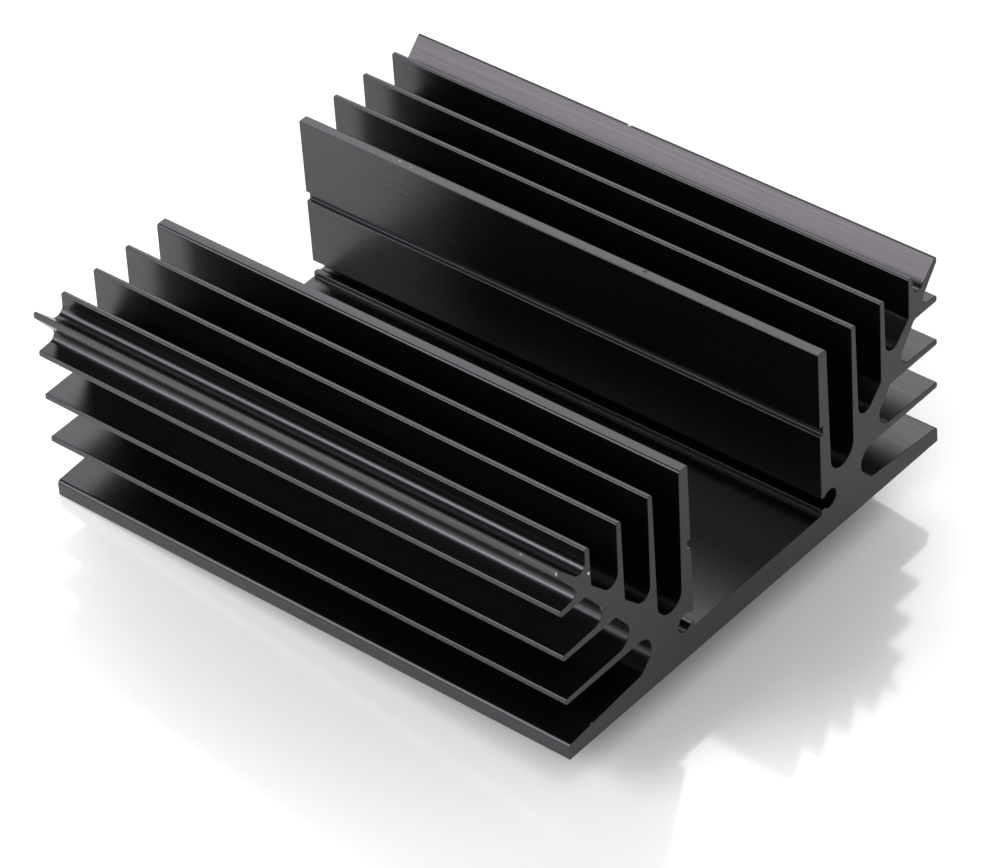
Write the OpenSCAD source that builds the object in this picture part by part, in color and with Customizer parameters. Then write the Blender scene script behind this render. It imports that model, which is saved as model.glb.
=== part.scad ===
// Extruded aluminium heat sink: one bar with a wide channel between two walls. On each side a
// diagonal web runs from the foot of the wall to the top corner. It carries upright fins above it,
// level fins beside it and a slanting fin at the corner.
// The section lies in X (across) and Z (up). The bar runs along Y, centred on the origin.

/* [Body] */
// Width across the tips of the side fins
body_w = 88; // [80:0.5:110]
// Height from the underside to the tips of the upright fins
body_h = 34.85; // [32:0.05:50]
// Length that the bar is sawn to
body_l = 100; // [20:5:300]

/* [Base] */
// Thickness of the base under the channel
floor_t = 4.85; // [3.5:0.05:5.2]
// Thickness of the base at its outer edge
base_edge_t = 2.75; // [1.5:0.05:4]
// Thickness of the base where the lowest side slot ends
base_root_t = 4.15; // [3:0.05:5]

/* [Channel] */
// Clear width between the two walls
channel_w = 30.4; // [24:0.1:33]
// Thickness of each wall at its top
wall_t = 1.95; // [1.6:0.05:3]
// Height of the middle of the groove in each wall
groove_z = 20.5; // [12:0.1:30]
// Depth of the groove
groove_depth = 0.75; // [0.3:0.05:1.2]
// Height of the groove
groove_h = 1.65; // [1:0.05:3]

/* [Screw channels] */
// Diameter of the round screw channel at the foot of each wall
screw_d = 3.2; // [2.6:0.1:3.4]
// Height of its centre
screw_z = 6.85; // [6.7:0.05:8]
// Distance of its centre behind the wall's face
screw_inset = 2; // [1.8:0.1:2.6]
// Height of the mouth that opens it to the channel
screw_mouth_h = 2.1; // [1.4:0.1:2.2]

/* [Upright fins] */
// Thickness of an upright fin at its tip
fin_t = 0.95; // [0.8:0.05:1.8]
// Slope of its outward face, in degrees
fin_draft = 1.4; // [0:0.1:2]
// Slope of the floor of each upright slot, in degrees
slot_floor_angle = 45; // [40:0.5:50]
// Radius at the foot of each upright slot, from the wall outwards; one slot for each value
slot_r = [2.6, 1.8, 1.8]; // [0.5:0.1:2.6]
// Radius where the sloping floor of each slot meets the next fin
knee_r = [2.6, 0.8, 0.8]; // [0.3:0.1:2.6]

/* [Side fins] */
// Height of the underside of the lowest side fin
side_fin_z = 10.4; // [9:0.05:12]
// Thickness of a side fin at its tip
side_fin_t = 1.05; // [0.8:0.05:1.6]
// Thickness of a side fin at the web
side_fin_root_t = 1.5; // [1:0.05:2]
// Radius at the foot of the slot above each side fin, from the lowest up; one fin for each value
side_slot_r = [2.45, 1.8, 1.15]; // [0.5:0.05:2.5]
// Radius at the top of those slots
side_slot_top_r = 1; // [0.3:0.1:1.5]
// Distance from the middle of the bar to the closed end of the lowest side slot
foot_x = 24.95; // [23.5:0.05:26]
// Radius of that closed end
foot_r = 2.6; // [1:0.05:3]
// Width of the ramp between that closed end and the base
foot_ramp_w = 2.4; // [1:0.1:4]
// Slope of that ramp, in degrees
foot_ramp_angle = 45; // [40:0.5:48]

/* [Web] */
// Height of the web's upper face at the first upright fin
web_z = 12.9; // [12:0.05:15]
// Depth of the web's upper face below the tips, at the last upright fin
web_depth = 6.95; // [5:0.05:9]
// Distance from the middle of the bar to the web's lower face, at the lowest side fin
web_x = 26.05; // [24.5:0.05:28]

/* [Corner fin] */
// Height of the corner fin's end
corner_fin_end = 1.4; // [0.8:0.05:2]
// Distance of that end's lower edge below the tips of the upright fins
corner_fin_drop = 0.85; // [0.8:0.05:2]
// Slope of its upper face, in degrees
corner_fin_angle = 45; // [42:0.5:50]
// Radius at the foot of the slot above it
corner_slot_r = 1.4; // [0.5:0.1:1.8]

/* [Edges] */
// Radius on the tips of the fins
tip_r = 0.3; // [0.1:0.05:0.4]
// Radius on the outward edge of each wall's tip
wall_tip_r = 0.45; // [0.1:0.05:0.8]
// Radius on the tip of the corner fin
corner_tip_r = 0.3; // [0.1:0.05:0.5]
// Radius on the upper outer edges of the base
base_edge_r = 0.7; // [0.2:0.1:1]
// Radius on the remaining small edges
edge_r = 0.15; // [0.05:0.05:0.3]

/* [Hidden] */
$fn = 96;
// What an arc overlaps the sides it touches by, so that they cross cleanly
OVERLAP = 0.0001;

half_w = body_w / 2;
wall_x = channel_w / 2;
level = [1, 0];
upright = [0, 1];
fin_flank = [-tan(fin_draft), 1];
fins = len(slot_r);
side_fins = len(side_slot_r);

// The upright fins are spaced evenly from the wall on. One more of them, as thick as a side fin,
// would begin at the side.
fin_pitch = (half_w - wall_x - wall_t + side_fin_t) / (fins + 1);
side_fin_pitch = (body_h - side_fin_z) / side_fins;

// Outward and inward face of an upright fin at its tip, where fin 0 is the channel's wall
function fin_out_x(i) = wall_x + wall_t + i * fin_pitch;
function fin_in_x(i) = fin_out_x(i) - fin_t;
function side_fin_under(j) = side_fin_z + j * side_fin_pitch;

// Direction that rises outwards at an angle in degrees
function slope(angle) = [1, tan(angle)];

// Crossing of the line through p along u with the line through q along v
function meet(p, u, q, v) = p + u * cross(q - p, v) / cross(u, v);

function corner(p, r) = [p.x, p.y, r];

// The web's lower face runs from the lowest side fin to the corner fin's end
web_foot = [web_x, side_fin_z];
corner_end = [half_w, body_h - corner_fin_drop];
function web_under(z) = meet([0, z], level, web_foot, corner_end - web_foot);

// Its upper face rises evenly from the first upright fin to the last
function web_over(i) = [fin_in_x(i), web_z + (body_h - web_depth - web_z) * (i - 1) / (fins - 1)];

// Lists of corners as [x, z, radius], counter-clockwise round the right half of the section
base_corners = [
    [half_w, 0, edge_r],
    [half_w, base_edge_t, base_edge_r]
];

// The lowest side slot: in along the base, up the ramp and round the closed end
ramp_foot = [foot_x + foot_ramp_w, base_root_t];
foot_corners = [
    corner(ramp_foot, side_slot_top_r),
    corner(meet(ramp_foot, slope(-foot_ramp_angle), [foot_x, 0], upright), foot_r),
    [foot_x, side_fin_z, foot_r]
];

// A side fin's tip and the slot above it
function side_fin_corners(j) =
    let (under = side_fin_under(j), root = under + side_fin_root_t)
    [
        [half_w, under, tip_r],
        [half_w, under + side_fin_t, tip_r],
        corner(web_under(root), side_slot_r[j]),
        if (j < side_fins - 1) corner(web_under(side_fin_under(j + 1)), side_slot_top_r)
    ];

// The corner fin's tip and the slot above it
corner_tip = corner_end + [0, corner_fin_end];
corner_corners = [
    corner(corner_end, corner_tip_r),
    corner(corner_tip, corner_tip_r),
    corner(meet(corner_tip, slope(corner_fin_angle), [fin_out_x(fins), body_h], fin_flank), corner_slot_r)
];

// An upright fin's tip and the slot on its inward side
function fin_corners(i) =
    [
        [fin_out_x(i), body_h, tip_r],
        [fin_in_x(i), body_h, tip_r],
        corner(web_over(i), knee_r[i - 1]),
        corner(meet(web_over(i), slope(slot_floor_angle), [fin_out_x(i - 1), body_h], fin_flank), slot_r[i - 1])
    ];

// The wall's tip, its groove, the mouth of the screw channel and the edge of the channel's floor
wall_corners = [
    [wall_x + wall_t, body_h, wall_tip_r],
    [wall_x, body_h, edge_r],
    [wall_x, groove_z + groove_h / 2, edge_r],
    [wall_x + groove_depth, groove_z + groove_h / 2, edge_r],
    [wall_x + groove_depth, groove_z - groove_h / 2, edge_r],
    [wall_x, groove_z - groove_h / 2, edge_r],
    [wall_x, screw_z + screw_mouth_h / 2, edge_r],
    [wall_x + screw_inset, screw_z + screw_mouth_h / 2, 0],
    [wall_x + screw_inset, screw_z - screw_mouth_h / 2, 0],
    [wall_x, screw_z - screw_mouth_h / 2, edge_r],
    [wall_x, floor_t, edge_r]
];

half_section = [
    each base_corners,
    each foot_corners,
    for (j = [0 : side_fins - 1]) each side_fin_corners(j),
    each corner_corners,
    for (i = [fins : -1 : 1]) each fin_corners(i),
    each wall_corners
];

section = [
    each half_section,
    for (i = [len(half_section) - 1 : -1 : 0]) let (c = half_section[i]) [-c.x, c.y, c.z]
];

// Closed outline of [x, y, radius] corners, each rounded by a true arc
module rounded(corners) {
    n = len(corners);
    points = [for (c = corners) [c.x, c.y]];
    sides = [for (i = [0 : n - 1]) points[(i + 1) % n] - points[i]];
    ways = [for (s = sides) s / norm(s)];
    turns = [for (i = [0 : n - 1])
        let (before = ways[(i + n - 1) % n])
        atan2(cross(before, ways[i]), before * ways[i])];
    // Length that each rounding takes of both its sides. Two that don't fit on a side both shrink.
    wanted = [for (i = [0 : n - 1]) corners[i].z * tan(abs(turns[i]) / 2)];
    fit = [for (i = [0 : n - 1])
        min(1, norm(sides[i]) / (wanted[i] + wanted[(i + 1) % n] + OVERLAP))];
    shrink = [for (i = [0 : n - 1]) min(fit[i], fit[(i + n - 1) % n])];
    starts = [for (i = [0 : n - 1]) points[i] - ways[(i + n - 1) % n] * wanted[i] * shrink[i]];
    ends = [for (i = [0 : n - 1]) points[i] + ways[i] * wanted[i] * shrink[i]];

    module disc(i) {
        r = corners[i].z * shrink[i];
        before = ways[(i + n - 1) % n];
        translate(starts[i] + sign(turns[i]) * r * [-before.y, before.x]) circle(r + OVERLAP);
    }

    difference() {
        union() {
            polygon([for (i = [0 : n - 1]) each (corners[i].z > 0 ? [starts[i], ends[i]] : [points[i]])]);
            for (i = [0 : n - 1])
                if (corners[i].z > 0 && turns[i] > 0) disc(i);
        }
        for (i = [0 : n - 1])
            if (corners[i].z > 0 && turns[i] < 0) disc(i);
    }
}

module heat_sink() {
    color("#2b2a2e")
        rotate([90, 0, 0])
            linear_extrude(body_l, center = true)
                difference() {
                    rounded(section);
                    for (side = [-1, 1])
                        translate([side * (wall_x + screw_inset), screw_z]) circle(d = screw_d);
                }
}

heat_sink();
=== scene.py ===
"""Extruded heat sink in black anodised aluminium, dressed for a plain white studio.

The bar is one extrusion. Its section is carried along Y as a numpy surface, with the small
deburred edge that a saw cut is given, and the nicks that handling has left.
"""

import logging
import math
from dataclasses import dataclass

import bpy
import numpy as np
from mathutils import Matrix, Vector
from mathutils.geometry import tessellate_polygon


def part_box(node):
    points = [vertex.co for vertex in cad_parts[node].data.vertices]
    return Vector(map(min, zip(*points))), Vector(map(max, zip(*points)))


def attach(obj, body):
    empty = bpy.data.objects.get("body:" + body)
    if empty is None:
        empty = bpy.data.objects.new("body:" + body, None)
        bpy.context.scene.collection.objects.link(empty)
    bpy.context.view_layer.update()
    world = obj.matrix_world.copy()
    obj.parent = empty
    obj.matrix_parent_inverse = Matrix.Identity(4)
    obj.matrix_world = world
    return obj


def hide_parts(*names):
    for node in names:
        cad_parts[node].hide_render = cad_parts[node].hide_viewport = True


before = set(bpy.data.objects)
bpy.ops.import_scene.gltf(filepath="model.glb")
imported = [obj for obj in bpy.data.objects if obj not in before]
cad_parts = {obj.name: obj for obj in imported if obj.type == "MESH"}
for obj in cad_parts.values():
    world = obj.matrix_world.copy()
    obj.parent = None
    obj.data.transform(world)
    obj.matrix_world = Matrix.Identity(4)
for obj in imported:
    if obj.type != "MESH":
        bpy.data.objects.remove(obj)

LOG = logging.getLogger("heat_sink")
NODE = "heat_sink"
MM = 0.001
# Attribute that says how bare the metal is at a corner of the mesh
BARE = "bare"
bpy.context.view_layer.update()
WHITE = (1.0, 1.0, 1.0, 1.0)
# What most of a noise texture's values lie between
NOISE_RANGE = (0.3, 0.7)
# Square of a length that is taken as none
NO_LENGTH = 1e-18


def linear(hex_colour: str) -> tuple[float, float, float, float]:
    """Turn an sRGB hex colour into linear RGBA.

    Args:
        hex_colour: Six hex digits after a hash.

    Returns:
        The linear colour, with an alpha of 1.
    """
    digits = hex_colour.lstrip("#")
    parts = [int(digits[i:i + 2], 16) / 255 for i in (0, 2, 4)]
    values = [p / 12.92 if p <= 0.04045 else ((p + 0.055) / 1.055) ** 2.4 for p in parts]
    return (*values, 1.0)


def add_node(
    tree: bpy.types.NodeTree, kind: str, inputs: dict | None = None, **settings: object
) -> bpy.types.Node:
    """Add a node with its settings and links.

    Args:
        tree: The node tree that takes the node.
        kind: Blender's name for the node type.
        inputs: For each input, by name or number, a value or the socket that feeds it.
        settings: Properties of the node itself.

    Returns:
        The new node.
    """
    node = tree.nodes.new(kind)
    for name, value in settings.items():
        setattr(node, name, value)
    for key, value in (inputs or {}).items():
        if isinstance(value, bpy.types.NodeSocket):
            tree.links.new(value, node.inputs[key])
        else:
            node.inputs[key].default_value = value
    return node


def new_material(name: str) -> tuple[bpy.types.Material, bpy.types.NodeTree]:
    """Make an empty node material.

    Args:
        name: The finish's own name.

    Returns:
        The material and its cleared node tree.
    """
    material = bpy.data.materials.new(name)
    material.use_nodes = True
    material.node_tree.nodes.clear()
    return material, material.node_tree


# ---------------------------------------------------------------------------------------------
# Section of the bar
# ---------------------------------------------------------------------------------------------


@dataclass(frozen=True)
class Outline:
    """A closed outline as a function of the distance along it, with the metal on its left."""

    run: np.ndarray
    place: np.ndarray
    outward: np.ndarray

    @property
    def length(self) -> float:
        """Return the distance once round the outline."""
        return float(self.run[-1])

    def at(self, distance: np.ndarray) -> tuple[np.ndarray, np.ndarray]:
        """Work out the outline at any distances along it.

        Args:
            distance: Distances along the outline, each from 0 to its length.

        Returns:
            Places as (x, z) and outward unit normals as (x, z).
        """
        place = np.stack([np.interp(distance, self.run, self.place[:, k]) for k in (0, 1)], 1)
        outward = np.stack([np.interp(distance, self.run, self.outward[:, k]) for k in (0, 1)], 1)
        return place, outward / np.linalg.norm(outward, axis=1, keepdims=True)

    def nearest(self, x: float, z: float) -> float:
        """Find where along the outline it comes closest to a point.

        Args:
            x: Place across the bar.
            z: Height.

        Returns:
            The distance along the outline.
        """
        start, side = self.place[:-1], np.diff(self.place, axis=0)
        squared = np.maximum((side ** 2).sum(1), NO_LENGTH)
        share = np.clip(((np.array([x, z]) - start) * side).sum(1) / squared, 0, 1)
        gap = np.linalg.norm(start + side * share[:, None] - (x, z), axis=1)
        k = int(gap.argmin())
        return float(self.run[k] + share[k] * (self.run[k + 1] - self.run[k]))


def left_of(ways: np.ndarray) -> np.ndarray:
    """Turn each (x, z) direction a quarter turn to its left."""
    return np.stack([-ways[:, 1], ways[:, 0]], 1)


def crossing(p: np.ndarray, u: np.ndarray, q: np.ndarray, v: np.ndarray) -> np.ndarray:
    """Find where two lines cross.

    Args:
        p: A point on the first line.
        u: Its direction.
        q: A point on the second line.
        v: Its direction.

    Returns:
        The crossing as (x, z).
    """
    gap = q - p
    return p + u * (gap[0] * v[1] - gap[1] * v[0]) / (u[0] * v[1] - u[1] * v[0])


def rounded(corners: np.ndarray, sagitta: float, widest: float) -> Outline:
    """Round each corner of a closed outline by an arc that is tangent to both its sides.

    A corner of radius r that turns by an angle t takes r tan(t / 2) of each side. Where two
    roundings don't fit on the side between them, both shrink. The arc's points are its centre
    less or plus r times the left-hand normal of a heading that turns evenly from one side's to
    the next.

    Args:
        corners: Rows of (x, z, radius), counter-clockwise.
        sagitta: How far a chord may lie from its arc.
        widest: The largest turn between two points of an arc, in radians.

    Returns:
        The outline, closed by a repeat of its first point.
    """
    points, radius = corners[:, :2], corners[:, 2]
    sides = np.roll(points, -1, axis=0) - points
    lengths = np.linalg.norm(sides, axis=1)
    ways = sides / lengths[:, None]
    before = np.roll(ways, 1, axis=0)
    cross = before[:, 0] * ways[:, 1] - before[:, 1] * ways[:, 0]
    turns = np.arctan2(cross, (before * ways).sum(1))
    wanted = radius * np.tan(abs(turns) / 2)
    fit = np.minimum(1, lengths / (wanted + np.roll(wanted, -1)))
    radius = radius * np.minimum(fit, np.roll(fit, 1))
    starts = points - before * (radius * np.tan(abs(turns) / 2))[:, None]
    centres = starts + (np.sign(turns) * radius)[:, None] * left_of(before)

    step = np.minimum(widest, 2 * np.arccos(1 - np.minimum(1, sagitta / radius)))
    counts = 2 + np.ceil(abs(turns) / step).astype(int)
    which = np.repeat(np.arange(len(counts)), counts)
    share = (np.arange(counts.sum()) - (np.cumsum(counts) - counts)[which]) / (counts[which] - 1)
    heading = np.arctan2(before[which, 1], before[which, 0]) + turns[which] * share
    way = np.stack([np.cos(heading), np.sin(heading)], 1)
    place = centres[which] - (np.sign(turns) * radius)[which, None] * left_of(way)
    outward = -left_of(way)

    place = np.vstack([place, place[:1]])
    outward = np.vstack([outward, outward[:1]])
    run = np.concatenate([[0], np.cumsum(np.linalg.norm(np.diff(place, axis=0), axis=1))])
    return Outline(run, place, outward)


@dataclass(frozen=True)
class BarSection:
    """Section of the extrusion in millimetres, symmetric about X = 0, Z up from its underside."""

    width: float
    height: float = 34.85
    floor_t: float = 4.85
    base_edge_t: float = 2.75
    base_root_t: float = 4.15
    channel_w: float = 30.4
    wall_t: float = 1.95
    groove_z: float = 20.5
    groove_depth: float = 0.75
    groove_h: float = 1.65
    screw_d: float = 3.2
    screw_z: float = 6.85
    screw_inset: float = 2.0
    screw_mouth_h: float = 2.1
    fin_t: float = 0.95
    fin_draft: float = 1.4
    slot_floor_angle: float = 45.0
    slot_r: tuple[float, ...] = (2.6, 1.8, 1.8)
    knee_r: tuple[float, ...] = (2.6, 0.8, 0.8)
    side_fin_z: float = 10.4
    side_fin_t: float = 1.05
    side_fin_root_t: float = 1.5
    side_slot_r: tuple[float, ...] = (2.45, 1.8, 1.15)
    side_slot_top_r: float = 1.0
    foot_x: float = 24.95
    foot_r: float = 2.6
    foot_ramp_w: float = 2.4
    foot_ramp_angle: float = 45.0
    web_z: float = 12.9
    web_depth: float = 6.95
    web_x: float = 26.05
    corner_fin_end: float = 1.4
    corner_fin_drop: float = 0.85
    corner_fin_angle: float = 45.0
    corner_slot_r: float = 1.4
    tip_r: float = 0.3
    wall_tip_r: float = 0.45
    corner_tip_r: float = 0.3
    base_edge_r: float = 0.7
    edge_r: float = 0.15
    lip_r: float = 0.08
    arc_sagitta: float = 0.004
    arc_step: float = 12.0

    @property
    def half_w(self) -> float:
        """Return the distance from the middle to the side fins' tips."""
        return self.width / 2

    @property
    def wall_x(self) -> float:
        """Return the distance from the middle to a wall's inner face."""
        return self.channel_w / 2

    @property
    def fin_pitch(self) -> float:
        """Return the fins' spacing: one more, as thick as a side fin, would begin at the side."""
        room = self.half_w - self.wall_x - self.wall_t + self.side_fin_t
        return room / (len(self.slot_r) + 1)

    @property
    def side_fin_pitch(self) -> float:
        """Return the spacing of the side fins."""
        return (self.height - self.side_fin_z) / len(self.side_slot_r)

    def fin_out_x(self, i: int) -> float:
        """Return the outward face of an upright fin at its tip, where fin 0 is the wall."""
        return self.wall_x + self.wall_t + i * self.fin_pitch

    def fin_in_x(self, i: int) -> float:
        """Return the inward face of an upright fin at its tip."""
        return self.fin_out_x(i) - self.fin_t

    def side_fin_under(self, j: int) -> float:
        """Return the height of a side fin's underside."""
        return self.side_fin_z + j * self.side_fin_pitch

    def flank(self) -> np.ndarray:
        """Return the direction of an upright fin's drafted face."""
        return np.array([-math.tan(math.radians(self.fin_draft)), 1.0])

    def slope(self, degrees: float) -> np.ndarray:
        """Return the direction that rises outwards at an angle."""
        return np.array([1.0, math.tan(math.radians(degrees))])

    def corner_end(self) -> np.ndarray:
        """Return the lower edge of the corner fin's end."""
        return np.array([self.half_w, self.height - self.corner_fin_drop])

    def web_under(self, z: float) -> np.ndarray:
        """Return the web's lower face at a height, straight from the lowest side fin outwards."""
        foot = np.array([self.web_x, self.side_fin_z])
        return crossing(np.array([0.0, z]), np.array([1.0, 0.0]), foot, self.corner_end() - foot)

    def web_over(self, i: int) -> np.ndarray:
        """Return the web's upper face at upright fin i from 1, which rises evenly fin by fin."""
        rise = self.height - self.web_depth - self.web_z
        return np.array([self.fin_in_x(i), self.web_z + rise * (i - 1) / (len(self.slot_r) - 1)])

    def base_corners(self) -> list[tuple[float, float, float]]:
        """Trace the base's edge and the closed end of the lowest side slot.

        Returns:
            Corners as (x, z, radius).
        """
        foot = np.array([self.foot_x + self.foot_ramp_w, self.base_root_t])
        ramp = self.slope(-self.foot_ramp_angle)
        top = crossing(foot, ramp, np.array([self.foot_x, 0.0]), np.array([0.0, 1.0]))
        return [
            (self.half_w, 0.0, self.edge_r),
            (self.half_w, self.base_edge_t, self.base_edge_r),
            (*foot, self.side_slot_top_r),
            (*top, self.foot_r),
            (self.foot_x, self.side_fin_z, self.foot_r),
        ]

    def side_fin_corners(self, j: int) -> list[tuple[float, float, float]]:
        """Trace a side fin's tip and the slot above it.

        Args:
            j: Number of the side fin, from 0 for the lowest.

        Returns:
            Corners as (x, z, radius).
        """
        under = self.side_fin_under(j)
        corners = [
            (self.half_w, under, self.tip_r),
            (self.half_w, under + self.side_fin_t, self.tip_r),
            (*self.web_under(under + self.side_fin_root_t), self.side_slot_r[j]),
        ]
        if j < len(self.side_slot_r) - 1:
            corners.append((*self.web_under(self.side_fin_under(j + 1)), self.side_slot_top_r))
        return corners

    def corner_fin_corners(self) -> list[tuple[float, float, float]]:
        """Trace the corner fin's tip and the slot above it.

        Returns:
            Corners as (x, z, radius).
        """
        end = self.corner_end()
        tip = end + (0.0, self.corner_fin_end)
        last_fin = np.array([self.fin_out_x(len(self.slot_r)), self.height])
        foot = crossing(tip, self.slope(self.corner_fin_angle), last_fin, self.flank())
        return [
            (*end, self.corner_tip_r),
            (*tip, self.corner_tip_r),
            (*foot, self.corner_slot_r),
        ]

    def fin_corners(self, i: int) -> list[tuple[float, float, float]]:
        """Trace an upright fin's tip and the slot on its inward side.

        Args:
            i: Number of the fin, from 1 beside the wall.

        Returns:
            Corners as (x, z, radius).
        """
        knee = self.web_over(i)
        inner_face = np.array([self.fin_out_x(i - 1), self.height])
        foot = crossing(knee, self.slope(self.slot_floor_angle), inner_face, self.flank())
        return [
            (self.fin_out_x(i), self.height, self.tip_r),
            (self.fin_in_x(i), self.height, self.tip_r),
            (*knee, self.knee_r[i - 1]),
            (*foot, self.slot_r[i - 1]),
        ]

    def screw_corners(self) -> list[tuple[float, float, float]]:
        """Trace a screw channel: the round part is three equal arcs between the mouth's two lips.

        Returns:
            Corners as (x, z, radius).
        """
        r, half_mouth = self.screw_d / 2, self.screw_mouth_h / 2
        x = self.wall_x + self.screw_inset
        part = 2 / 3 * (math.pi - math.asin(half_mouth / r))
        reach = r / math.cos(part / 2)
        lip_x = x - math.sqrt(r ** 2 - half_mouth ** 2)
        arcs = [
            (x + reach * math.cos(a), self.screw_z + reach * math.sin(a), r)
            for a in (part, 0.0, -part)
        ]
        return [
            (self.wall_x, self.screw_z + half_mouth, self.edge_r),
            (lip_x, self.screw_z + half_mouth, self.lip_r),
            *arcs,
            (lip_x, self.screw_z - half_mouth, self.lip_r),
            (self.wall_x, self.screw_z - half_mouth, self.edge_r),
        ]

    def wall_corners(self) -> list[tuple[float, float, float]]:
        """Trace a wall's tip, its groove, the screw channel and the edge of the channel's floor.

        Returns:
            Corners as (x, z, radius).
        """
        top, bottom = self.groove_z + self.groove_h / 2, self.groove_z - self.groove_h / 2
        deep = self.wall_x + self.groove_depth
        return [
            (self.wall_x + self.wall_t, self.height, self.wall_tip_r),
            (self.wall_x, self.height, self.edge_r),
            (self.wall_x, top, self.edge_r),
            (deep, top, self.edge_r),
            (deep, bottom, self.edge_r),
            (self.wall_x, bottom, self.edge_r),
            *self.screw_corners(),
            (self.wall_x, self.floor_t, self.edge_r),
        ]

    def outline(self) -> Outline:
        """Join the corners of both halves and round them.

        Returns:
            The section's outline, in metres.
        """
        half = self.base_corners()
        for j in range(len(self.side_slot_r)):
            half += self.side_fin_corners(j)
        half += self.corner_fin_corners()
        for i in range(len(self.slot_r), 0, -1):
            half += self.fin_corners(i)
        half += self.wall_corners()
        right = np.array(half)
        corners = np.vstack([right, right[::-1] * (-1, 1, 1)])
        return rounded(corners * MM, self.arc_sagitta * MM, math.radians(self.arc_step))


# ---------------------------------------------------------------------------------------------
# Finishes
# ---------------------------------------------------------------------------------------------


@dataclass(frozen=True)
class Anodised:
    """Black anodised aluminium: a dyed oxide film, whose gloss has a faint purple sheen."""

    name: str
    colour: str
    roughness: float
    grit: float
    grit_share: float
    octave_share: float
    height: float
    bare_colour: str
    sheen: str = "#fbf4ff"
    ior: float = 1.5
    roughness_swing: float = 0.05

    def grain(
        self,
        tree: bpy.types.NodeTree,
        place: bpy.types.NodeSocket,
        cell: tuple[float, float, float],
    ) -> bpy.types.NodeSocket:
        """Mix drawn-out noise, the die lines or saw marks, with the fine grit under the oxide.

        Args:
            tree: The node tree.
            place: The coordinates, in metres.
            cell: Size of the drawn-out noise along X, Y and Z, in millimetres.

        Returns:
            The height, spread about one half.
        """
        drawn_out = add_node(
            tree,
            "ShaderNodeMapping",
            {"Vector": place, "Scale": tuple(1 / (side * MM) for side in cell)},
        )
        lines = add_node(
            tree,
            "ShaderNodeTexNoise",
            {
                "Vector": drawn_out.outputs["Vector"],
                "Scale": 1.0,
                "Detail": 3.0,
                "Roughness": self.octave_share,
            },
        )
        grit = add_node(
            tree,
            "ShaderNodeTexNoise",
            {"Vector": place, "Scale": 1 / (self.grit * MM), "Detail": 2.0},
        )
        mixed = add_node(
            tree,
            "ShaderNodeMix",
            {"Factor": self.grit_share, "A": lines.outputs["Fac"], "B": grit.outputs["Fac"]},
        )
        return mixed.outputs["Result"]

    def finish(
        self,
        tree: bpy.types.NodeTree,
        height: bpy.types.NodeSocket,
        dye: bpy.types.NodeSocket | tuple[float, float, float, float],
        bare: bpy.types.NodeSocket,
    ) -> None:
        """Let the height drive the roughness and the bump, and lay the dye over all but bare metal.

        Args:
            tree: The node tree.
            height: Height of the surface, spread about one half.
            dye: The dyed film's colour.
            bare: 1 where bare metal shows, and 0 elsewhere.
        """
        roughness = add_node(
            tree,
            "ShaderNodeMapRange",
            {
                "Value": height,
                "From Min": NOISE_RANGE[0],
                "From Max": NOISE_RANGE[1],
                "To Min": self.roughness - self.roughness_swing,
                "To Max": self.roughness + self.roughness_swing,
            },
        )
        bump = add_node(
            tree,
            "ShaderNodeBump",
            {"Height": height, "Strength": 1.0, "Distance": self.height * MM},
        )
        colour = add_node(
            tree,
            "ShaderNodeMix",
            {"Factor": bare, "A": dye, "B": linear(self.bare_colour)},
            data_type="RGBA",
        )
        shader = add_node(
            tree,
            "ShaderNodeBsdfPrincipled",
            {
                "Base Color": colour.outputs["Result"],
                "Metallic": bare,
                "Roughness": roughness.outputs["Result"],
                "IOR": self.ior,
                "Specular Tint": linear(self.sheen),
                "Normal": bump.outputs["Normal"],
            },
        )
        add_node(tree, "ShaderNodeOutputMaterial", {"Surface": shader.outputs["BSDF"]})


@dataclass(frozen=True)
class ExtrudedSkin(Anodised):
    """Black anodised aluminium as extruded: semi-gloss, with die lines drawn out along Y.

    The lines are as coarse as they need to be to show faintly. Their width isn't a measured one.
    """

    name: str = "black_anodised_aluminium_extruded"
    colour: str = "#040304"
    worn_colour: str = "#080608"
    bare_colour: str = "#c9cacc"
    roughness: float = 0.3
    line_width: float = 0.45
    line_length: float = 90.0
    height: float = 0.0008
    grit: float = 0.12
    grit_share: float = 0.3
    octave_share: float = 0.6
    cloud: float = 14.0

    def material(self) -> bpy.types.Material:
        """Build the finish.

        Returns:
            The material.
        """
        material, tree = new_material(self.name)
        place = add_node(tree, "ShaderNodeTexCoord").outputs["Object"]
        height = self.grain(tree, place, (self.line_width, self.line_length, self.line_width))
        # The dye clouds slowly between its two colours
        cloud = add_node(
            tree,
            "ShaderNodeTexNoise",
            {"Vector": place, "Scale": 1 / (self.cloud * MM), "Detail": 2.0},
        )
        dye = add_node(
            tree,
            "ShaderNodeMix",
            {
                "Factor": cloud.outputs["Fac"],
                "A": linear(self.colour),
                "B": linear(self.worn_colour),
            },
            data_type="RGBA",
        )
        bare = add_node(tree, "ShaderNodeAttribute", attribute_name=BARE)
        self.finish(tree, height, dye.outputs["Result"], bare.outputs["Fac"])
        return material


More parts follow.
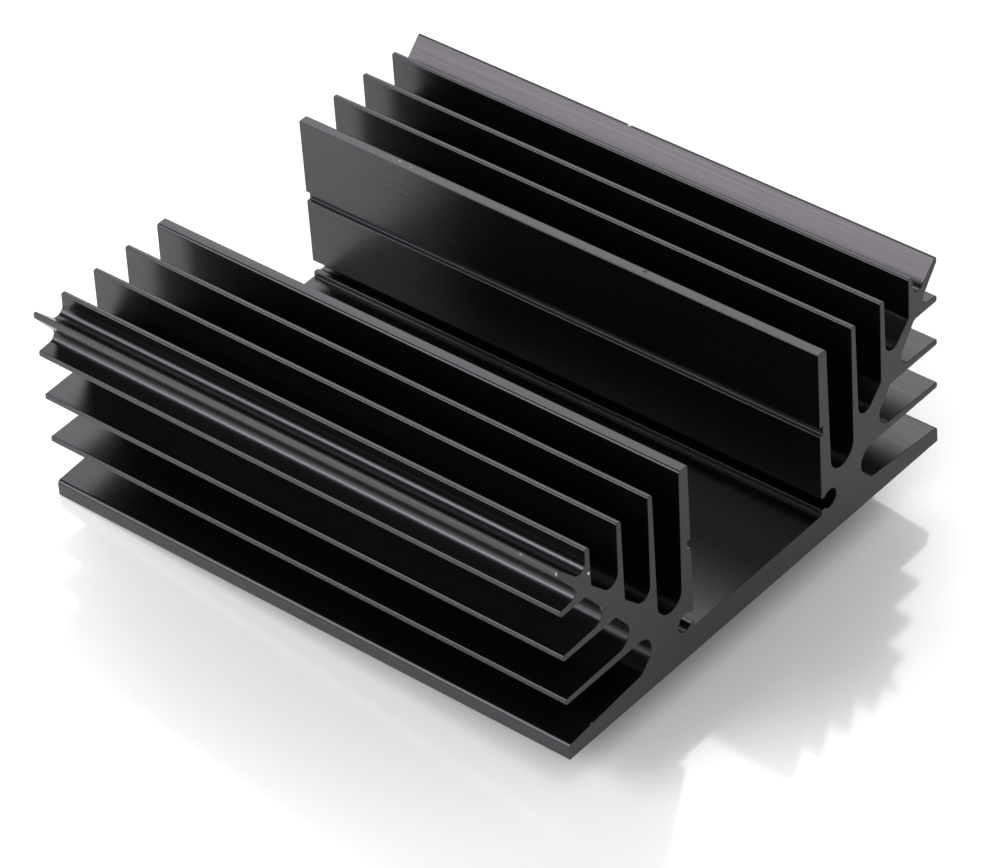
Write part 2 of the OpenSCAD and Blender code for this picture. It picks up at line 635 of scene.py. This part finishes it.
@dataclass(frozen=True)
class SawnFace(Anodised):
    """Black anodised aluminium over a fine saw cut: greyer and softer than the skin.

    The saw marks run level across the bar, as coarse as they need to be to show, and their pitch
    and depth are guessed. One speck of bare metal shows, at a point in millimetres.
    """

    name: str = "black_anodised_aluminium_sawn"
    colour: str = "#151316"
    bare_colour: str = "#d2d3d5"
    roughness: float = 0.4
    mark_width: float = 0.6
    mark_length: float = 40.0
    height: float = 0.001
    grit: float = 0.15
    grit_share: float = 0.4
    octave_share: float = 0.5
    speck: tuple[float, float, float] = (-37.56, -50.0, 30.39)
    speck_r: float = 0.25

    def material(self) -> bpy.types.Material:
        """Build the finish.

        Returns:
            The material.
        """
        material, tree = new_material(self.name)
        place = add_node(tree, "ShaderNodeTexCoord").outputs["Object"]
        height = self.grain(tree, place, (self.mark_length, self.mark_length, self.mark_width))
        away = add_node(
            tree,
            "ShaderNodeVectorMath",
            {0: place, 1: tuple(mm * MM for mm in self.speck)},
            operation="DISTANCE",
        )
        torn = add_node(
            tree,
            "ShaderNodeMath",
            {0: away.outputs["Value"], 1: self.speck_r * MM},
            operation="LESS_THAN",
        )
        self.finish(tree, height, linear(self.colour), torn.outputs["Value"])
        return material


# ---------------------------------------------------------------------------------------------
# The bar
# ---------------------------------------------------------------------------------------------


@dataclass(frozen=True)
class Nick:
    """A small dent from handling, in millimetres, where bare metal may show through the dye."""

    x: float
    y: float
    z: float
    across: float
    along: float
    depth: float
    bare: float = 0.0


NICKS = (
    Nick(16.25, -17.4, 34.85, across=0.45, along=0.6, depth=0.08),
    Nick(16.3, 30.4, 34.85, across=0.2, along=0.25, depth=0.03, bare=0.35),
    Nick(16.0, 27.9, 34.85, across=0.15, along=0.2, depth=0.03, bare=0.3),
    Nick(43.85, 7.6, 34.95, across=0.5, along=0.45, depth=0.2, bare=1.0),
    Nick(-43.85, -43.3, 34.95, across=0.25, along=0.25, depth=0.06, bare=0.35),
    Nick(-44.0, -49.7, 34.6, across=0.3, along=0.25, depth=0.08, bare=0.6),
    Nick(-35.35, -50.0, 22.3, across=0.75, along=0.3, depth=0.1, bare=1.0),
    Nick(-38.85, -50.0, 3.2, across=0.25, along=0.2, depth=0.1, bare=0.6),
    Nick(-37.05, -50.0, 0.0, across=0.4, along=0.4, depth=0.25, bare=0.3),
)


@dataclass
class HeatSinkBar:
    """The extruded bar, cut to length by a saw, as one closed surface."""

    section: BarSection
    near_y: float
    far_y: float
    skin: ExtrudedSkin
    sawn: SawnFace
    deburr: float = 0.08
    deburr_steps: int = 3
    bay: float = 12.5
    nicks: tuple[Nick, ...] = NICKS
    nick_steps: int = 4

    def samples(self, outline: Outline) -> np.ndarray:
        """Choose the distances along the outline, closer together at each nick.

        Args:
            outline: The section.

        Returns:
            Distances in rising order, without the repeat at the end.
        """
        steps = np.linspace(-1, 1, 2 * self.nick_steps + 1)
        near = [outline.nearest(n.x * MM, n.z * MM) + steps * n.across * MM for n in self.nicks]
        every = np.concatenate([outline.run[:-1], *near]) % outline.length
        return np.unique(every.round(7))

    def stations(self) -> np.ndarray:
        """Choose the places along the bar between its deburred edges, closer together at each nick.

        Returns:
            Places along Y in rising order.
        """
        low, high = self.near_y + self.deburr * MM, self.far_y - self.deburr * MM
        count = math.ceil((high - low) / (self.bay * MM))
        steps = np.linspace(-1, 1, 2 * self.nick_steps + 1)
        near = [(n.y + steps * n.along) * MM for n in self.nicks]
        every = np.concatenate([np.linspace(low, high, count + 1), *near])
        return np.unique(every[(every >= low) & (every <= high)].round(7))

    def surface(self) -> tuple[np.ndarray, np.ndarray, np.ndarray]:
        """Carry the section along the bar.

        A point is the section's point at its distance s, moved to the station y. Over the last
        bit of length at each end, an angle a runs from 0 to a right angle: the section shrinks
        by c (1 - cos a) along its normals and moves c sin a towards the end, and the normal
        leans from the section's to the end's. A nick sinks a point by d (1 - q^2)^2 along its
        normal, where q is the distance from the nick's middle as a share of its reach, and
        tilts the normal by the slope of that hollow.

        Returns:
            Places and normals as (rows, columns, 3) arrays, and how bare the metal is there.
        """
        outline = self.section.outline()
        distance = self.samples(outline)
        flat, outward = outline.at(distance)
        angle = np.linspace(0, math.pi / 2, self.deburr_steps + 1)[1:]
        stations = self.stations()
        c = self.deburr * MM
        bend = c * np.sin(angle)
        y = np.concatenate([stations[0] - bend[::-1], stations, stations[-1] + bend])
        lean = np.concatenate([-angle[::-1], np.zeros(len(stations)), angle])
        shrink = c * (1 - np.cos(lean))

        place = np.empty((len(y), len(distance), 3))
        place[:, :, [0, 2]] = flat[None] - shrink[:, None, None] * outward[None]
        place[:, :, 1] = y[:, None]
        normal = np.empty_like(place)
        normal[:, :, [0, 2]] = np.cos(lean)[:, None, None] * outward[None]
        normal[:, :, 1] = np.sin(lean)[:, None]
        way = np.zeros_like(place)
        way[:, :, [0, 2]] = left_of(outward)[None]

        bare = np.zeros(place.shape[:2])
        sunk = place.copy()
        tilted = normal.copy()
        for nick in self.nicks:
            middle = outline.nearest(nick.x * MM, nick.z * MM)
            gap = (distance - middle + outline.length / 2) % outline.length - outline.length / 2
            u = gap[None, :] / (nick.across * MM)
            v = (y[:, None] - nick.y * MM) / (nick.along * MM)
            hollow = np.maximum(0, 1 - u ** 2 - v ** 2)
            depth = nick.depth * MM
            sunk -= (depth * hollow ** 2)[:, :, None] * normal
            slope_u = -4 * depth * hollow * u / (nick.across * MM)
            slope_v = -4 * depth * hollow * v / (nick.along * MM)
            tilted += slope_u[:, :, None] * way
            tilted[:, :, 1] += slope_v
            bare = np.maximum(bare, nick.bare * np.minimum(1, 2 * hollow))
        return sunk, tilted / np.linalg.norm(tilted, axis=2, keepdims=True), bare

    def mesh(self) -> bpy.types.Mesh:
        """Put the surface and its two sawn faces into a mesh.

        Returns:
            The closed mesh, with its own normals and the attribute that says where metal is bare.
        """
        place, normal, bare = self.surface()
        rows, columns = bare.shape
        i, j = np.meshgrid(np.arange(rows - 1), np.arange(columns), indexing="ij")
        k = (j + 1) % columns
        here, beyond = i * columns, (i + 1) * columns
        quads = np.stack([here + j, beyond + j, beyond + k, here + k], -1).reshape(-1, 4)
        rim = [Vector((x, z, 0)) for x, z in place[0][:, [0, 2]]]
        cap = np.array(tessellate_polygon([rim]))
        a, b, c = (place[0][cap[:, n]][:, [0, 2]] for n in range(3))
        turn = (b - a)[:, 0] * (c - a)[:, 1] - (b - a)[:, 1] * (c - a)[:, 0]
        near = np.where(turn[:, None] > 0, cap, cap[:, ::-1])
        far = near[:, ::-1] + (rows - 1) * columns

        mesh = bpy.data.meshes.new(NODE + "_bar")
        mesh.from_pydata(place.reshape(-1, 3), [], [*quads.tolist(), *near.tolist(), *far.tolist()])
        mesh.materials.append(self.skin.material())
        mesh.materials.append(self.sawn.material())
        sawn = np.zeros(len(mesh.polygons), np.int32)
        sawn[len(quads):] = 1
        edge_rows = self.deburr_steps * columns
        sawn[:edge_rows] = 1
        sawn[len(quads) - edge_rows:len(quads)] = 1
        mesh.polygons.foreach_set("material_index", sawn)
        mesh.polygons.foreach_set("use_smooth", np.ones(len(sawn), bool))
        corners = np.zeros(len(mesh.loops), np.int32)
        mesh.loops.foreach_get("vertex_index", corners)
        shown = bare.reshape(-1)[corners]
        shown[quads.size:] = 0
        layer = mesh.attributes.new(BARE, "FLOAT", "CORNER")
        layer.data.foreach_set("value", shown.astype(np.float32))
        mesh.normals_split_custom_set_from_vertices(normal.reshape(-1, 3).tolist())
        mesh.update()
        return mesh

    def build(self) -> bpy.types.Object:
        """Make the bar and let it stand for the CAD node.

        Returns:
            The piece.
        """
        piece = bpy.data.objects.new("heat_sink_bar", self.mesh())
        bpy.context.scene.collection.objects.link(piece)
        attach(piece, "root")
        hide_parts(NODE)
        LOG.info("%s: %d faces", piece.name, len(piece.data.polygons))
        return piece


# ---------------------------------------------------------------------------------------------
# Studio
# ---------------------------------------------------------------------------------------------


@dataclass(frozen=True)
class StudioFloor:
    """A glossy sheet of white acrylic, with the bar's near end propped up on it.

    The sheet falls away from the far left corner of the underside, the only place where the two
    come close. Its glow is seen, straight or mirrored, but lights nothing. The glow is weaker near
    the part and rises away from it, as painted shade round the part. Its side is in metres, and
    its other lengths are in millimetres.
    """

    name: str = "white_acrylic"
    colour: str = "#f4f4f4"
    side_m: float = 8.0
    drop: float = 0.02
    fall: tuple[float, float] = (-0.0214, 0.0741)
    # Glow near the part and far from it: the weaker glow near the part is painted shade
    glow: tuple[float, float] = (0.09, 0.25)
    # Distances from the floor's origin, under the part, over which the painted shade fades into the
    # full glow
    painted_shade_reach: tuple[float, float] = (46.0, 82.0)
    gloss: float = 0.09
    roughness: float = 0.09

    def material(self) -> bpy.types.Material:
        """Build the floor's finish, which keeps the shadow and faintly mirrors the part.

        Returns:
            The material.
        """
        material, tree = new_material(self.name)
        place = add_node(tree, "ShaderNodeTexCoord").outputs["Object"]
        diffuse = add_node(tree, "ShaderNodeBsdfDiffuse", {"Color": linear(self.colour)})
        away = add_node(tree, "ShaderNodeVectorMath", {0: place}, operation="LENGTH")
        # Painted shade: the glow is weaker near the part and rises to its full strength away from
        # it
        glow_with_painted_shade = add_node(
            tree,
            "ShaderNodeMapRange",
            {
                "Value": away.outputs["Value"],
                "From Min": self.painted_shade_reach[0] * MM,
                "From Max": self.painted_shade_reach[1] * MM,
                "To Min": self.glow[0],
                "To Max": self.glow[1],
            },
            interpolation_type="SMOOTHSTEP",
        )
        path = add_node(tree, "ShaderNodeLightPath")
        seen = add_node(
            tree,
            "ShaderNodeMath",
            {0: path.outputs["Is Camera Ray"], 1: path.outputs["Is Glossy Ray"]},
            operation="MAXIMUM",
        )
        seen = add_node(
            tree,
            "ShaderNodeMath",
            {0: seen.outputs["Value"], 1: path.outputs["Is Transmission Ray"]},
            operation="MAXIMUM",
        )
        share = add_node(
            tree,
            "ShaderNodeMath",
            {0: seen.outputs["Value"], 1: glow_with_painted_shade.outputs["Result"]},
            operation="MULTIPLY",
        )
        glow = add_node(
            tree, "ShaderNodeEmission", {"Color": WHITE, "Strength": share.outputs["Value"]}
        )
        body = add_node(
            tree, "ShaderNodeAddShader", {0: diffuse.outputs["BSDF"], 1: glow.outputs["Emission"]}
        )
        gloss = add_node(
            tree, "ShaderNodeBsdfGlossy", {"Color": WHITE, "Roughness": self.roughness}
        )
        surface = add_node(
            tree,
            "ShaderNodeMixShader",
            {0: self.gloss, 1: body.outputs["Shader"], 2: gloss.outputs["BSDF"]},
        )
        add_node(tree, "ShaderNodeOutputMaterial", {"Surface": surface.outputs["Shader"]})
        return material

    def build(self, corner: Vector) -> None:
        """Lay the floor just under the part.

        Args:
            corner: The corner of the underside that lies just over the floor.
        """
        square = np.array([(-1, -1), (1, -1), (1, 1), (-1, 1)]) * self.side_m / 2
        level = corner.z - self.drop * MM + (square - corner.xy) @ np.array(self.fall)
        mesh = bpy.data.meshes.new("studio_floor")
        mesh.from_pydata(np.column_stack([square, level]).tolist(), [], [(0, 1, 2, 3)])
        mesh.materials.append(self.material())
        floor = bpy.data.objects.new("studio_floor", mesh)
        bpy.context.scene.collection.objects.link(floor)
        LOG.info("%s laid", floor.name)


@dataclass(frozen=True)
class StudioWorld:
    """Plain white surroundings that light the part as a soft fill."""

    fill: float = 0.15

    def build(self) -> None:
        """Set the scene's world."""
        world = bpy.data.worlds.new("studio_world")
        world.use_nodes = True
        tree = world.node_tree
        tree.nodes.clear()
        white = add_node(tree, "ShaderNodeBackground", {"Color": WHITE, "Strength": self.fill})
        add_node(tree, "ShaderNodeOutputWorld", {"Surface": white.outputs["Background"]})
        bpy.context.scene.world = world


@dataclass(frozen=True)
class Softbox:
    """A studio softbox that faces the part.

    Its heading runs from +X towards +Y. Angles are in degrees and lengths in metres.
    """

    name: str
    heading: float
    elevation: float
    distance: float
    width: float
    height: float
    radiance: float

    def build(self, middle: Vector) -> None:
        """Hang the softbox.

        Args:
            middle: The point that it faces.
        """
        heading, elevation = math.radians(self.heading), math.radians(self.elevation)
        way = Vector((
            math.cos(heading) * math.cos(elevation),
            math.sin(heading) * math.cos(elevation),
            math.sin(elevation),
        ))
        light = bpy.data.lights.new(self.name, "AREA")
        light.shape = "RECTANGLE"
        light.size, light.size_y = self.width, self.height
        light.energy = self.radiance * math.pi * self.width * self.height
        lamp = bpy.data.objects.new(self.name, light)
        lamp.location = middle + way * self.distance
        lamp.rotation_euler = way.to_track_quat("Z", "Y").to_euler()
        bpy.context.scene.collection.objects.link(lamp)


SOFTBOXES = (
    Softbox(
        "softbox_right", heading=42.0, elevation=40.0, distance=1.2,
        width=0.8, height=0.8, radiance=3.0,
    ),
    Softbox(
        "softbox_left", heading=147.0, elevation=36.0, distance=1.2,
        width=0.7, height=0.42, radiance=9.6,
    ),
    Softbox(
        "softbox_left_low", heading=147.0, elevation=14.0, distance=1.2,
        width=0.7, height=0.5, radiance=3.2,
    ),
    Softbox(
        "softbox_near", heading=235.0, elevation=60.0, distance=1.4,
        width=1.0, height=1.0, radiance=2.5,
    ),
)


@dataclass(frozen=True)
class StudioCamera:
    """The camera, which looks from beyond the near left corner and is a little tilted.

    Its azimuth runs from -Y towards +X. Angles are in degrees, the far clipping in metres, and
    the other lengths in millimetres.
    """

    aim: tuple[float, float, float] = (-9.496, -9.645, 0.0)
    distance: float = 766.099
    azimuth: float = -47.5064
    elevation: float = 39.0295
    roll: float = -4.2555
    lens: float = 187.321
    clip_end_m: float = 100.0

    def build(self, middle: Vector) -> None:
        """Set the scene's camera.

        Args:
            middle: The middle of the part's box, which the aim is measured from.
        """
        azimuth, elevation = math.radians(self.azimuth), math.radians(self.elevation)
        back = Vector((
            math.sin(azimuth) * math.cos(elevation),
            -math.cos(azimuth) * math.cos(elevation),
            math.sin(elevation),
        ))
        level = Vector((0, 0, 1)).cross(back).normalized()
        right = Matrix.Rotation(math.radians(self.roll), 3, back) @ level
        up = back.cross(right)
        camera = bpy.data.cameras.new("camera")
        camera.lens = self.lens
        camera.clip_end = self.clip_end_m
        holder = bpy.data.objects.new("camera", camera)
        place = middle + Vector(self.aim) * MM + back * self.distance * MM
        turn = Matrix((right, up, back)).transposed()
        holder.matrix_world = Matrix.Translation(place) @ turn.to_4x4()
        bpy.context.scene.collection.objects.link(holder)
        bpy.context.scene.camera = holder


def main() -> None:
    """Build the bar and the studio round it."""
    low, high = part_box(NODE)
    middle = (low + high) / 2
    bpy.context.scene.view_settings.view_transform = "Standard"
    section = BarSection(width=(high.x - low.x) / MM)
    HeatSinkBar(section, low.y, high.y, ExtrudedSkin(), SawnFace()).build()
    StudioFloor().build(Vector((low.x, high.y, low.z)))
    StudioWorld().build()
    for softbox in SOFTBOXES:
        softbox.build(middle)
    StudioCamera().build(middle)


if __name__ == "__main__":
    logging.basicConfig(level=logging.INFO, format="%(name)s %(message)s")
    main()
